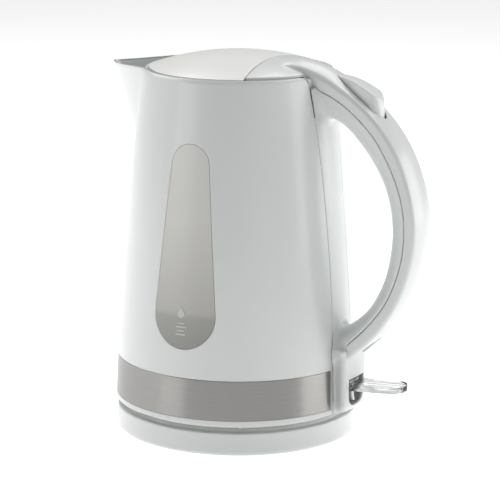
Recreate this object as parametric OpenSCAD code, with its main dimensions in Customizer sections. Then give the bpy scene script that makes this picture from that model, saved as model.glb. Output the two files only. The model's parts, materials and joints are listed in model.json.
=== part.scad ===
// Cordless electric jug kettle on a round power base.
// Origin: axis of the jug, on the surface that the base stands on.
// +Z is up, the spout points to -X and the handle to +X. All sizes are in millimetres.

/* [Jug] */
// Outer radius of the jug at the lower edge of the steel band
jug_bottom_r = 75.2; // [74:0.1:77]
// Outer radius of the jug just below its rim
jug_top_r = 58.9; // [58:0.1:61]
// How far the side of the jug bulges past a straight cone
jug_bulge = 2.2; // [1:0.1:3]
// Wall thickness of the jug
jug_wall = 2.6; // [2.2:0.1:2.8]
// Height of the top of the rim
rim_z = 225.4; // [224:0.1:227]

/* [Windows] */
// Height of the centre of the wide lower end of a window
window_low_z = 85.3; // [84:0.1:90]
// Radius of the wide lower end
window_low_r = 20.2; // [18:0.1:21]
// Height of the centre of the narrow upper end
window_high_z = 175.3; // [165:0.1:178]
// Radius of the narrow upper end
window_high_r = 12.2; // [10:0.1:14]

/* [Steel band] */
// Height of the lower edge of the band
band_low_z = 23.3; // [23:0.1:24]
// Height of the upper edge of the band
band_high_z = 47.6; // [44:0.1:50]
// Thickness of the band
band_thick = 0.8; // [0.6:0.1:1]

/* [Lid] */
// Radius of the dome that the lid and the hood share
dome_r = 164; // [160:1:170]
// Height of the top of the dome
dome_top_z = 235.2; // [235:0.1:236]
// Thickness of the lid cover
lid_wall = 2.2; // [1.8:0.1:2.4]
// Place of the seam between the lid and the hood
lid_seam_x = 25.2; // [24:0.1:25.5]
// Lid hinge axis, along X
lid_hinge_x = 38; // [37.5:0.1:38.5]
// Lid hinge axis, height
lid_hinge_z = 222.5; // [222:0.1:223]

/* [Handle] */
// Half the width of the handle
handle_half_w = 13; // [12.5:0.1:13.5]
// Wall thickness of the two handle halves
handle_wall = 2.4; // [2:0.1:2.6]
// Half the width of the rear housing that holds the switch
boss_half_w = 15.7; // [15:0.1:16]
// How far the rear housing reaches behind the axis
boss_x = 82.8; // [82:0.1:84]

/* [Switch lever] */
// How far the lever reaches behind the axis
lever_tip_x = 115.5; // [108:0.1:118]
// Half the width of the lever
lever_half_w = 9.2; // [8:0.1:9.5]
// Thickness of the lever
lever_thick = 4.8; // [4:0.1:5]

/* [Power base] */
// Outer radius of the base
base_r = 74.4; // [73:0.1:76]
// Height of the edge of the base
base_edge_z = 15.5; // [15:0.1:16]
// Height of the raised land that the jug stands on
base_land_z = 17.4; // [17.2:0.1:17.4]
// Number of rubber feet
foot_count = 3; // [3, 4]

/* [Hidden] */

// ---- sizes that follow from the ones above ----
// Smallest overlap that keeps a cut from leaving a skin
cut = 1;
// Gap that lets two pieces pass
gap = 0.4;
jug_low_z = 20;
jug_high_z = 223.1;
profile_low_z = 23;
profile_high_z = 218;
profile_steps = 18;
rim_round = rim_z - jug_high_z;
// The rear strip of the jug where the spine of the handle lies
spine_half_w = 12;
spine_flare = 4;
spine_mid_z = 110;
spine_reach_z = 105;
spine_thick = 2.6;
spine_top_z = 221.5;
// Where the handle runs into the top of the jug
throat_z = 211;
throat_half_w = 13.4;
// Floor of the water chamber
floor_z = 42;
floor_r = 66;
heater_r = 68;
plate_thick = 1.2;
seal_thick = 2;
diffuser_thick = 3;
diffuser_r = 56;
element_r = 42;
element_tube_r = 3.3;
// Underside of the jug
chassis_z = 17.7;
chassis_thick = 2.4;
chassis_r = 71.6;
boss_ring_r = 67.9;
// Connector between the base and the jug
hub_r = 16.6;
hub_top_z = 28.8;
cup_r = 17.5;
cup_out_r = 22;
cup_top_z = 29.8;
groove_in_r = 7.9;
groove_out_r = 10.9;
// Power base
base_bottom_z = 1.2;
base_fillet = 3.5;
base_wall = 2.4;
plate_r = 69;
base_plate_thick = 2;
foot_r = 6;
foot_ring_r = 62.5;
foot_turn = 242.5;
screw_r = 1.6;
screw_head_r = 3;
base_screw_ring = 46;
gland_z = 8.4;
gland_out_r = 4.8;
gland_bore_r = 3.3;
gland_in_y = 66;
// Lid
dome_z = dome_top_z - dome_r;
lid_r = 54.4;
hood_gap = 1;
hood_r = 55.4;
lip_thick = 1;
lip_back = 1.6;
liner_r = 50;
liner_flange_r = 53.6;
liner_low_z = 204;
liner_high_z = 221.8;
liner_wall = 1.8;
liner_back_x = 21.4;
hinge_pin_r = 1.75;
running_gap = 0.05;
hinge_eye_r = 3.4;
arm_y = 17;
arm_w = 5;
ear_w = 3;
// Spout
spout_tip = [-88, 0, 223];
spout_root = [-66.2, 0, 154];
spout_side = [-46, 34, 223];
spout_wall_x = 3.3;
// Handle: outer line, joint line between the halves, and inner line, as [x, z]
outer_line = [
    [26.4, 233], [44, 233.8], [60, 229.6], [74, 222], [90, 210.5], [103, 197.6],
    [113.5, 182.2], [121, 164], [125, 146], [125.4, 130], [121.8, 112],
    [113.6, 91.5], [101, 73], [86, 58],
];
joint_line = [
    [56, 217], [70, 212.6], [84, 204.2], [97.5, 191], [108.5, 172.8],
    [115.4, 154.2], [117.3, 135], [115, 115.6], [107.6, 95.3], [96.4, 79],
    [79.5, 62],
];
inner_line = [
    [60, 201], [70, 197.8], [80, 189.8], [92.5, 175], [101, 159.5], [105.2, 141],
    [105, 124], [101.3, 105.5], [92.4, 87.5], [80, 75.5], [70, 70],
];
line_steps = 4;
// Release button and its pivot
button_pivot = [70.5, 219.6];
button_half_w = 7.2;
button_pin_r = 1.2;
// Switch lever and its pivot
lever_pivot = [77.2, 36.6];
lever_pin_r = 1.5;
lever_hub_r = 3;
slot_half_w = 10.2;
slot_low_z = 24.5;
slot_high_z = 41.5;
boss_top_z = 60;
boss_floor_z = 20.3;
// Facets of a swept wire, and of the blends
wire_sides = 8;
turn_steps = 14;

// ---- functions ----
// Outer radius of the jug at a height
function jug_r(z) =
    let (t = (z - profile_low_z) / (profile_high_z - profile_low_z))
    jug_bottom_r + (jug_top_r - jug_bottom_r) * t + 4 * jug_bulge * t * (1 - t);

// Heights from a to b in even steps
function heights(a, b) = [for (i = [0:profile_steps]) a + (b - a) * i / profile_steps];

// Half width of the spine at a height
function spine_w(z) = spine_half_w + spine_flare * pow((z - spine_mid_z) / spine_reach_z, 2);

// Catmull-Rom curve through the points p
function curve_point(p, i, t) =
    let (a = p[max(i - 1, 0)], b = p[i], c = p[i + 1], d = p[min(i + 2, len(p) - 1)])
    0.5 * (2 * b + (c - a) * t + (2 * a - 5 * b + 4 * c - d) * t * t
    + (3 * b - a - 3 * c + d) * t * t * t);
function curve(p) = concat(
    [for (i = [0:len(p) - 2], k = [0:line_steps - 1]) curve_point(p, i, k / line_steps)],
    [p[len(p) - 1]]
);

// The curve p moved sideways by d, towards the jug
function along(p, i) = p[min(i + 1, len(p) - 1)] - p[max(i - 1, 0)];
function moved(p, d) = [
    for (i = [0:len(p) - 1]) let (v = along(p, i)) p[i] + d * [v[1], -v[0]] / norm(v)
];
function reversed(p) = [for (i = [len(p) - 1:-1:0]) p[i]];

// Points of a tapered slot, round at both ends: radius r0 at z0 and radius r1 at z1
function teardrop(z0, r0, z1, r1) =
    let (lean = asin((r0 - r1) / (z1 - z0)))
    concat(
        [for (a = [180 - lean:6:360 + lean]) [r0 * cos(a), z0 + r0 * sin(a)]],
        [for (a = [lean:6:180 - lean]) [r1 * cos(a), z1 + r1 * sin(a)]]
    );

// ---- shared shapes ----
// A plate drawn in X and Z, w thick and centred on Y = 0
module plate_xz(points, w) {
    rotate([90, 0, 0]) linear_extrude(w, center = true) polygon(points);
}

// A bar along Y through [x, z]
module bar_y(p, r, w) {
    translate([p[0], 0, p[1]]) rotate([90, 0, 0]) cylinder(r = r, h = w, center = true, $fn = 48);
}

// A skin that follows the side of the jug, from depth d0 to depth d1 under its surface
module jug_skin(z0, z1, d0, d1) {
    rotate_extrude($fn = 128) polygon(concat(
        [for (z = heights(z0, z1)) [jug_r(z) - d0, z]],
        [for (z = heights(z1, z0)) [jug_r(z) - d1, z]]
    ));
}

// Everything inside the side of the jug, d under its surface
module jug_core(z0, z1, d) {
    rotate_extrude($fn = 128) polygon(concat(
        [[0, z0]], [for (z = heights(z0, z1)) [jug_r(z) - d, z]], [[0, z1]]
    ));
}

// A prism over the spine, grown sideways by extra
module spine_zone(z0, z1, extra) {
    rotate([90, 0, 90]) linear_extrude(100) polygon(concat(
        [for (z = heights(z0, z1)) [spine_w(z) + extra, z]],
        [for (z = heights(z1, z0)) [-spine_w(z) - extra, z]]
    ));
}

// A prism through one window, grown by extra. side is -1 for the -Y window
module window_zone(side, extra) {
    translate([0, side * 60, 0]) rotate([90, 0, 0]) linear_extrude(60, center = true)
        polygon(teardrop(window_low_z, window_low_r + extra, window_high_z, window_high_r + extra));
}

// A block from one corner to the opposite one
module block(low, high) {
    translate(low) cube(high - low);
}

// A ring from radius r0 to r1 and from z0 to z1
module ring(r0, r1, z0, z1) {
    translate([0, 0, z0]) difference() {
        cylinder(r = r1, h = z1 - z0, $fn = 96);
        translate([0, 0, -cut]) cylinder(r = r0, h = z1 - z0 + 2 * cut, $fn = 96);
    }
}

// Copies around the axis at radius r
module around(count, r, turn) {
    for (i = [0:count - 1]) rotate([0, 0, turn + i * 360 / count]) translate([r, 0, 0]) children();
}

// A pan-head screw whose head starts at z = 0 and whose shank points up
module screw(length) {
    cylinder(r = screw_head_r, h = 1.8, $fn = 32);
    translate([0, 0, 1.7]) cylinder(r = screw_r, h = length, $fn = 32);
}

// The dome that the lid and the hood share: the ball of radius dome_r - d above z
module dome_ball(d, r, z) {
    intersection() {
        translate([0, 0, dome_z]) sphere(r = dome_r - d, $fn = 128);
        translate([0, 0, z]) cylinder(r = r, h = 40, $fn = 128);
    }
}

// A wire of radius r swept along the path
module wire(path, r) {
    n = len(path);
    ends = [
        for (i = [0:n - 1]) let (
            v = path[min(i + 1, n - 1)] - path[max(i - 1, 0)],
            w = v / norm(v),
            s = abs(w[2]) > 0.9 ? [1, 0, 0] : [0, 0, 1],
            a = cross(w, s) / norm(cross(w, s)),
            b = cross(w, a)
        ) [a, b]
    ];
    rings = [
        for (i = [0:n - 1], k = [0:wire_sides - 1])
            path[i] + r * (cos(360 * k / wire_sides) * ends[i][0] + sin(360 * k / wire_sides) * ends[i][1])
    ];
    sides = [
        for (i = [0:n - 2], k = [0:wire_sides - 1]) let (j = (k + 1) % wire_sides)
            [i * wire_sides + k, (i + 1) * wire_sides + k, (i + 1) * wire_sides + j, i * wire_sides + j]
    ];
    first = [for (k = [0:wire_sides - 1]) k];
    last = [for (k = [wire_sides - 1:-1:0]) (n - 1) * wire_sides + k];
    polyhedron(rings, concat(sides, [first], [last]));
}

// Points of a coil around Z
function coil(r, turns, pitch) = [
    for (i = [0:turns * turn_steps]) let (a = 360 * i / turn_steps)
        [r * cos(a), r * sin(a), pitch * i / turn_steps]
];

// ---- power base ----
module base_shell() {
    fillet = [for (a = [-80:10:0]) [base_r - base_fillet + base_fillet * cos(a),
        base_bottom_z + base_fillet + base_fillet * sin(a)]];
    color("white") {
        difference() {
            rotate_extrude($fn = 128) polygon(concat(
                [[plate_r + gap, base_bottom_z]], fillet,
                [[base_r, base_edge_z - 0.9], [base_r - 0.9, base_edge_z],
                [70.6, base_edge_z], [69.6, base_land_z], [hub_r + 3, base_land_z],
                [hub_r + 3, base_land_z - base_wall], [68, base_land_z - base_wall],
                [72, base_edge_z - base_wall], [72, 7], [plate_r + gap, 5]]
            ));
            translate([0, gland_in_y - cut, gland_z]) rotate([-90, 0, 0])
                cylinder(r = gland_out_r, h = 20, $fn = 48);
        }
        around(3, base_screw_ring, 60) difference() {
            translate([0, 0, base_bottom_z + base_plate_thick])
                cylinder(r = 4, h = base_land_z - base_wall - base_bottom_z - base_plate_thick + 0.2, $fn = 32);
            cylinder(r = screw_r, h = 12, $fn = 32);
        }
    }
}

module base_plate() {
    top_z = base_bottom_z + base_plate_thick;
    color("lightgray") difference() {
        translate([0, 0, base_bottom_z]) cylinder(r = plate_r, h = base_plate_thick, $fn = 96);
        around(foot_count, foot_ring_r, foot_turn) cylinder(r = foot_r, h = base_bottom_z + 1.1, $fn = 48);
        around(3, base_screw_ring, 60) cylinder(r = screw_head_r, h = top_z - 0.2, $fn = 32);
        around(3, base_screw_ring, 60) cylinder(r = screw_r, h = top_z + cut, $fn = 32);
    }
}

module base_feet() {
    color("dimgray") around(foot_count, foot_ring_r, foot_turn)
        cylinder(r = foot_r, h = base_bottom_z + 1.1, $fn = 48);
}

module base_screws() {
    color("silver") around(3, base_screw_ring, 60)
        translate([0, 0, base_bottom_z]) screw(8);
}

module base_connector() {
    color("black") difference() {
        union() {
            translate([0, 0, base_bottom_z + base_plate_thick])
                cylinder(r = hub_r, h = hub_top_z - base_bottom_z - base_plate_thick, $fn = 96);
            translate([0, 0, base_bottom_z + base_plate_thick]) cylinder(r = 26, h = 4, $fn = 96);
        }
        translate([0, 0, 17]) cylinder(r = 2.8, h = 20, $fn = 48);
        ring(groove_in_r, groove_out_r, 18, 40);
    }
}

module base_contacts() {
    color("goldenrod") {
        ring(8.4, 10.4, 18, 20.2);
        translate([0, 0, 17]) cylinder(r = 2.4, h = 1.8, $fn = 48);
    }
}

module cord_gland() {
    flange_y = base_r + 0.4;
    color("white") difference() {
        union() {
            translate([0, gland_in_y, gland_z]) rotate([-90, 0, 0])
                cylinder(r = gland_out_r, h = flange_y - gland_in_y, $fn = 48);
            translate([0, gland_in_y - 2, gland_z]) rotate([-90, 0, 0])
                cylinder(r = gland_out_r - 0.5, h = 3, $fn = 48);
        }
        translate([0, gland_in_y - 4, gland_z]) rotate([-90, 0, 0])
            cylinder(r = gland_bore_r, h = 20, $fn = 48);
    }
}

// ---- jug ----
// The V of the spout, closed on top. Moved inwards it is also the channel
module spout_wedge() {
    far_side = [spout_side[0], -spout_side[1], spout_side[2]];
    polyhedron([spout_tip, spout_root, spout_side, far_side],
        [[0, 1, 2], [0, 3, 1], [0, 2, 3], [1, 3, 2]]);
}

module spout_shell() {
    difference() {
        spout_wedge();
        translate([spout_wall_x, 0, 0]) spout_wedge();
        translate([spout_wall_x, 0, 2]) spout_wedge();
        jug_core(150, jug_high_z, -0.02);
        cylinder(r = 58.6, h = 300, $fn = 96);
    }
}

module jug_rim() {
    rotate_extrude($fn = 128) polygon(concat(
        [[jug_r(jug_high_z) - jug_wall - 0.6, jug_high_z - 1.5]],
        [[jug_r(jug_high_z - 1.5), jug_high_z - 1.5]],
        [for (a = [0:15:90]) [jug_r(jug_high_z) - rim_round + rim_round * cos(a),
            jug_high_z + rim_round * sin(a)]],
        [[jug_r(jug_high_z) - jug_wall - 0.6, rim_z - 0.6]]
    ));
}

module jug_body() {
    color("white") {
        difference() {
            union() {
                jug_skin(jug_low_z, jug_high_z, 0, jug_wall);
                jug_rim();
            }
            spine_zone(0, 240, 0.2);
            window_zone(-1, 0);
            window_zone(1, 0);
            difference() {
                jug_skin(band_low_z, band_high_z, -cut, band_thick);
                cylinder(r = 60, h = 60);
            }
            // Pouring opening under the rim
            block([-80, -19, 176], [-40, 19, 217]);
        }
        // Wall behind the spine
        difference() {
            intersection() {
                jug_skin(jug_low_z, jug_high_z, spine_thick + 0.2, spine_thick + 0.2 + jug_wall);
                spine_zone(0, 240, 4);
            }
            block([40, -throat_half_w, throat_z], [80, throat_half_w, 240]);
            block([50, -11, 22], [90, 11, 43]);
        }
        // Web that joins the two walls at the edges of the spine
        difference() {
            intersection() {
                jug_skin(jug_low_z, jug_high_z - 2, jug_wall - 0.4, spine_thick + 0.6);
                spine_zone(0, 240, 4);
            }
            spine_zone(0, 240, 0.2);
        }
        // Ledge that the heater plate seals against
        ring(floor_r, jug_r(floor_z) - jug_wall + 0.6, floor_z + seal_thick, floor_z + seal_thick + 2.5);
        around(3, boss_ring_r, 60) difference() {
            translate([0, 0, chassis_z + chassis_thick + 0.1]) cylinder(r = 4.3, h = 19, $fn = 32);
            cylinder(r = screw_r, h = 34, $fn = 32);
        }
    }
}

module spout() {
    color("white") spout_shell();
}

module window_pane(side) {
    color("gainsboro", 0.6) intersection() {
        jug_skin(60, 195, 0.1, jug_wall);
        window_zone(side, 0);
    }
}

module window_near() {
    window_pane(-1);
}

module window_far() {
    window_pane(1);
}

module decor_band() {
    color("silver") difference() {
        jug_skin(band_low_z, band_high_z, 0, band_thick);
        block([0, -boss_half_w - gap, 0], [100, boss_half_w + gap, 60]);
    }
}

module chassis() {
    color("whitesmoke") difference() {
        union() {
            ring(cup_out_r + 0.3, chassis_r - 1.6, chassis_z, chassis_z + chassis_thick);
            ring(60, chassis_r, chassis_z + 0.9, chassis_z + chassis_thick);
        }
        around(3, boss_ring_r, 60) translate([0, 0, chassis_z - cut])
            cylinder(r = screw_head_r, h = 1.8 + cut, $fn = 32);
        around(3, boss_ring_r, 60) cylinder(r = screw_r, h = 30, $fn = 32);
    }
}

module chassis_screws() {
    color("silver") around(3, boss_ring_r, 60) translate([0, 0, chassis_z]) screw(13);
}

// ---- heater and control ----
module heater_plate() {
    color("silver") {
        translate([0, 0, floor_z - plate_thick]) cylinder(r = heater_r, h = plate_thick, $fn = 96);
    }
}

module heater_seal() {
    color("salmon") ring(floor_r, heater_r, floor_z, floor_z + seal_thick);
}

module diffuser_plate() {
    color("gainsboro") translate([0, 0, floor_z - plate_thick - diffuser_thick])
        cylinder(r = diffuser_r, h = diffuser_thick, $fn = 96);
}

module heating_element() {
    centre_z = floor_z - plate_thick - diffuser_thick - element_tube_r;
    half_gap = 12;
    color("darkgray") {
        difference() {
            translate([0, 0, centre_z]) rotate_extrude($fn = 96)
                translate([element_r, 0]) circle(r = element_tube_r, $fn = 32);
            block([-60, -half_gap, 0], [0, half_gap, 60]);
        }
        for (side = [-1, 1]) {
            translate([-sqrt(pow(element_r, 2) - pow(half_gap, 2)), side * (half_gap + 1.6), centre_z - 6])
                cylinder(r = 1.4, h = 6, $fn = 24);
        }
    }
}

module control_unit() {
    color("dimgray") {
        difference() {
            union() {
                translate([0, 0, chassis_z + 0.4]) cylinder(r = cup_out_r, h = 15, $fn = 96);
                translate([0, 0, chassis_z + chassis_thick]) cylinder(r = cup_out_r + 4, h = 2, $fn = 96);
            }
            translate([0, 0, chassis_z - cut]) cylinder(r = cup_r, h = cup_top_z - chassis_z + cut, $fn = 96);
        }
        for (turn = [0:120:240]) {
            rotate([0, 0, turn]) translate([15, 0, chassis_z + 15.3]) cylinder(r = 5, h = 4.3, $fn = 48);
        }
    }
}

module kettle_contacts() {
    color("goldenrod") {
        ring(8.8, 10, 21.4, cup_top_z);
        translate([0, 0, 20]) cylinder(r = 2, h = cup_top_z - 20, $fn = 48);
    }
}

module steam_tube() {
    high = [47.5, 0, 209];
    low = [62.4, 0, 46];
    way = low - high;
    color("whitesmoke") translate(high) rotate([0, acos(way[2] / norm(way)), 0]) difference() {
        cylinder(r = 4, h = norm(way), $fn = 48);
        translate([0, 0, -cut]) cylinder(r = 2.9, h = norm(way) + 2 * cut, $fn = 48);
    }
}

module steam_thermostat() {
    color("dimgray") {
        block([59, -8, 22], [66, 8, 31]);
        translate([62.5, 0, 31]) cylinder(r = 3.2, h = 1.6, $fn = 48);
    }
}

module indicator_lamp() {
    color("orange") translate([71, -7.5, 27.5]) rotate([0, 90, 0]) cylinder(r = 2, h = 6.5, $fn = 32);
}

module control_leads() {
    color("crimson") {
        for (side = [-1, 1]) {
            wire([
                [24, side * 6, 26], [32, side * 7, 24.5], [44, side * 6, 24.5],
                [54, side * 5, 25], [58.8, side * 5, 25],
            ], 1.1);
        }
    }
}

// ---- filter at the spout ----
module filter_frame() {
    color("whitesmoke") difference() {
        intersection() {
            jug_skin(168, 216, jug_wall + 0.2, 5);
            block([-80, -27, 168], [0, 27, 216]);
        }
        block([-80, -24, 171], [0, 24, 213]);
    }
}

module filter_mesh() {
    color("lightgray") intersection() {
        jug_skin(171, 213, 3.8, 4.3);
        block([-80, -24, 171], [0, 24, 213]);
    }
}

// ---- handle ----
module spine() {
    difference() {
        intersection() {
            jug_skin(jug_low_z + 0.3, spine_top_z, 0, spine_thick);
            spine_zone(0, 240, 0);
        }
        block([40, -throat_half_w, throat_z - 1], [80, throat_half_w, 240]);
    }
}

module handle_frame() {
    inner = curve(inner_line);
    joint = curve(joint_line);
    color("white") difference() {
        union() {
            spine();
            difference() {
                plate_xz(concat(inner, reversed(joint)), 2 * handle_half_w);
                jug_core(10, 240, 1.5);
                // Channel for the steam and the wires
                plate_xz(concat(
                    moved([for (p = inner) if (p[1] > 80) p], -handle_wall),
                    reversed(moved([for (p = joint) if (p[1] > 84) p], -cut))
                ), 2 * (handle_half_w - handle_wall));
            }
            // Rear housing
            difference() {
                translate([0, 0, boss_floor_z]) linear_extrude(boss_top_z + 4 - boss_floor_z)
                    polygon([
                        [60, -boss_half_w], [boss_x - 2.6, -boss_half_w],
                        [boss_x - 0.9, -boss_half_w + 1.6], [boss_x, 0],
                        [boss_x - 0.9, boss_half_w - 1.6], [boss_x - 2.6, boss_half_w],
                        [60, boss_half_w],
                    ]);
                jug_core(10, 100, 1.5);
                plate_xz([[79.5, boss_top_z + 1], [87, 60.5], [95, 58], [95, 80], [70, 80]], 60);
            }
        }
        block([60, -12.8, 22.6], [80.6, 12.8, 57.4]);
        // Outside the spine strip the handle stops at the surface of the jug
        difference() {
            jug_core(10, 240, -0.1);
            spine_zone(0, 240, 0);
        }
        // Slot of the switch lever
        translate([boss_x - 10, 0, slot_low_z + 7]) rotate([0, 90, 0]) cylinder(r = 7, h = 20, $fn = 48);
        block([boss_x - 10, -slot_half_w, slot_low_z + 7], [boss_x + 10, slot_half_w, slot_high_z]);
        bar_y(lever_pivot, lever_pin_r, 28.6);
        translate([60, 0, 67]) rotate([0, 90, 0]) cylinder(r = screw_r, h = 30, $fn = 32);
        translate([60, 0, 67]) rotate([0, 90, 0]) cylinder(r = screw_head_r, h = 14.6, $fn = 32);
    }
}

module handle_screw() {
    color("silver") translate([72.8, 0, 67]) rotate([0, 90, 0]) screw(13);
}

module handle_cover() {
    outer = curve(outer_line);
    joint = curve(joint_line);
    inside = moved(outer, handle_wall);
    color("white") difference() {
        union() {
            // Rear part of the dome, which stays with the handle
            difference() {
                dome_ball(0, hood_r, 219);
                dome_ball(lid_wall, hood_r - 2.2, 200);
                block([-80, -80, 200], [lid_seam_x + hood_gap, 80, 260]);
                block([0, -80, 200], [80, 80, rim_z + 0.4]);
            }
            plate_xz(concat(outer, reversed(joint), [[54, 219], [50, rim_z], [26.4, 229]]), 2 * handle_half_w);
        }
        // Hollow of the arm
        plate_xz(concat(
            [for (p = inside) if (p[1] > 84) p],
            reversed(moved([for (p = joint) if (p[1] > 84) p], cut)),
            [[50, 205], [20, 205], [20, 229.6]]
        ), 2 * (handle_half_w - handle_wall));
        dome_ball(lid_wall, hood_r - 2.2, 200);
        block([0, -80, 200], [lid_seam_x + hood_gap, 80, 260]);
        // The rim of the jug passes on both sides of the arm
        difference() {
            cylinder(r = 55.5, h = rim_z + 0.4, $fn = 96);
            cylinder(r = 30, h = 300);
        }
        // Well of the release button
        plate_xz([[66.5, 232], [66.5, 216], [99.2, 196], [99.2, 212], [80, 232]], 2 * button_half_w + 1.6);
        bar_y(button_pivot, button_pin_r, 22.4);
        translate([60, 0, 67]) rotate([0, 90, 0]) cylinder(r = screw_r, h = 27.8, $fn = 32);
    }
}

// ---- lid ----
module lid_cover() {
    color("white") difference() {
        union() {
            difference() {
                dome_ball(0, lid_r, 221.8);
                dome_ball(lid_wall, lid_r - 2.2, 200);
            }
            // Catch that the latch rod pushes
            intersection() {
                block([18.6, -4, 223.4], [21.2, 4, 240]);
                dome_ball(0.5, lid_r, 200);
            }
        }
        block([lid_seam_x, -80, 200], [80, 80, 260]);
        intersection() {
            dome_ball(lip_thick, 80, 200);
            block([lid_seam_x - lip_back, -80, 200], [80, 80, 260]);
        }
    }
}

module lid_liner() {
    arm = [
        [lid_hinge_x + hinge_eye_r, lid_hinge_z], [lid_hinge_x + hinge_eye_r, liner_low_z + 2],
        [lid_hinge_x + hinge_eye_r - 2, liner_low_z], [liner_back_x - 1, liner_low_z],
        [liner_back_x - 1, liner_low_z + 4], [lid_hinge_x - 9.6, liner_low_z + 4],
        [lid_hinge_x - hinge_eye_r, liner_low_z + 6.4], [lid_hinge_x - hinge_eye_r, lid_hinge_z],
    ];
    color("white") {
        difference() {
            union() {
                translate([0, 0, liner_low_z]) cylinder(r = liner_r, h = liner_high_z - liner_low_z, $fn = 96);
                translate([0, 0, liner_high_z - 1.5]) cylinder(r = liner_flange_r, h = 1.5, $fn = 96);
            }
            difference() {
                translate([0, 0, liner_low_z + liner_wall])
                    cylinder(r = liner_r - liner_wall, h = 30, $fn = 96);
                block([liner_back_x - liner_wall, -60, 0], [60, 60, 300]);
            }
            block([liner_back_x, -80, 0], [80, 80, 300]);
        }
        for (side = [-1, 1]) {
            translate([0, side * (arm_y + arm_w / 2), 0]) difference() {
                union() {
                    plate_xz(arm, arm_w);
                    bar_y([lid_hinge_x, lid_hinge_z], hinge_eye_r, arm_w);
                }
                bar_y([lid_hinge_x, lid_hinge_z], hinge_pin_r + running_gap, arm_w + cut);
            }
        }
    }
}

module hinge_carrier() {
    deck_z = 215;
    deck_x = lid_hinge_x + 4.6;
    ear = [
        [lid_hinge_x - hinge_eye_r, lid_hinge_z], [lid_hinge_x - hinge_eye_r, lid_hinge_z - 2],
        [deck_x - 3, deck_z], [deck_x + 4, deck_z], [deck_x + 4, deck_z + 3],
        [lid_hinge_x + hinge_eye_r, lid_hinge_z],
    ];
    color("whitesmoke") difference() {
        union() {
            intersection() {
                translate([0, 0, deck_z]) cylinder(r = 53.2, h = 2, $fn = 96);
                block([deck_x, -60, 0], [80, 60, 300]);
            }
            for (y = [arm_y - gap - ear_w / 2, arm_y + arm_w + gap + ear_w / 2], side = [-1, 1]) {
                translate([0, side * y, 0]) {
                    plate_xz(ear, ear_w);
                    bar_y([lid_hinge_x, lid_hinge_z], hinge_eye_r, ear_w);
                }
            }
        }
        bar_y([lid_hinge_x, lid_hinge_z], hinge_pin_r, 80);
        translate([48, 0, 200]) cylinder(r = 3, h = 40, $fn = 32);
    }
}

module hinge_pin() {
    color("silver") bar_y([lid_hinge_x, lid_hinge_z], hinge_pin_r, 52);
}

module lid_spring() {
    turns = 6;
    pitch = 1.5;
    color("gray") translate([lid_hinge_x, -12.5, lid_hinge_z]) rotate([-90, 0, 0])
        wire(coil(2.9, turns, pitch), 0.55);
}

// ---- release button and latch ----
module release_button() {
    side_view = [
        [68.6, 226.4], [74.6, 226.6], [81.2, 224.8], [87.8, 221.7], [93.4, 217], [95.4, 213.4],
        [96.8, 204], [96.4, 200.8], [90, 205], [86.5, 211.5], [73.4, 217.4], [69.9, 216],
        [69.9, 209.4], [67.4, 209.4], [67.4, 217.4],
    ];
    plan = [[67.2, -3], [69.5, -5], [78, -6.4], [90, -button_half_w], [95.2, -6], [98, -2], [98, 2],
        [95.2, 6], [90, button_half_w], [78, 6.4], [69.5, 5], [67.2, 3]];
    color("white") difference() {
        intersection() {
            plate_xz(side_view, 2 * button_half_w);
            linear_extrude(300) polygon(plan);
        }
        bar_y(button_pivot, button_pin_r + running_gap, 40);
    }
}

module button_pin() {
    color("silver") bar_y(button_pivot, button_pin_r, 22.4);
}

module button_spring() {
    turns = 4;
    pitch = 1;
    color("gray") translate([82, 0, 205.5]) wire(coil(2.6, turns, pitch), 0.45);
}

module latch_rod() {
    side_view = [
        [22.9, 224.8], [46, 224.8], [66.2, 209.6], [67.1, 209.6], [67.1, 212.4], [47, 227.2], [22.9, 227.2],
    ];
    color("whitesmoke") plate_xz(side_view, 6.4);
}

// ---- switch ----
module switch_lever() {
    hub_x = lever_pivot[0];
    hub_z = lever_pivot[1];
    low_z = hub_z - 1.9;
    round_x = lever_tip_x - lever_half_w;
    color("white", 0.4) difference() {
        union() {
            translate([0, 0, low_z]) linear_extrude(lever_thick)
                polygon([
                    [hub_x, -lever_half_w], [round_x, -lever_half_w],
                    [round_x, lever_half_w], [hub_x, lever_half_w],
                ]);
            translate([round_x, 0, low_z]) cylinder(r = lever_half_w, h = lever_thick, $fn = 64);
            bar_y(lever_pivot, lever_hub_r, 2 * lever_half_w);
            block([67, -2.6, hub_z - 1.6], [hub_x, 2.6, hub_z + 1.4]);
            block([hub_x - 1, -1.1, hub_z - 9.5], [hub_x + 2.6, 1.1, hub_z]);
        }
        bar_y(lever_pivot, lever_pin_r + running_gap, 40);
    }
}

module lever_pin() {
    color("silver") bar_y(lever_pivot, lever_pin_r, 28.6);
}

base_shell();
base_plate();
base_feet();
base_connector();
base_contacts();
base_screws();
cord_gland();
jug_body();
spout();
window_near();
window_far();
decor_band();
handle_frame();
handle_cover();
handle_screw();
hinge_carrier();
hinge_pin();
lid_spring();
lid_cover();
lid_liner();
release_button();
button_pin();
button_spring();
latch_rod();
filter_frame();
filter_mesh();
heater_plate();
heater_seal();
diffuser_plate();
heating_element();
control_unit();
kettle_contacts();
chassis();
chassis_screws();
steam_tube();
steam_thermostat();
indicator_lamp();
control_leads();
switch_lever();
lever_pin();
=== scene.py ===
import json
import math

import bpy
import numpy as np
from mathutils import Matrix, Vector


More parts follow.
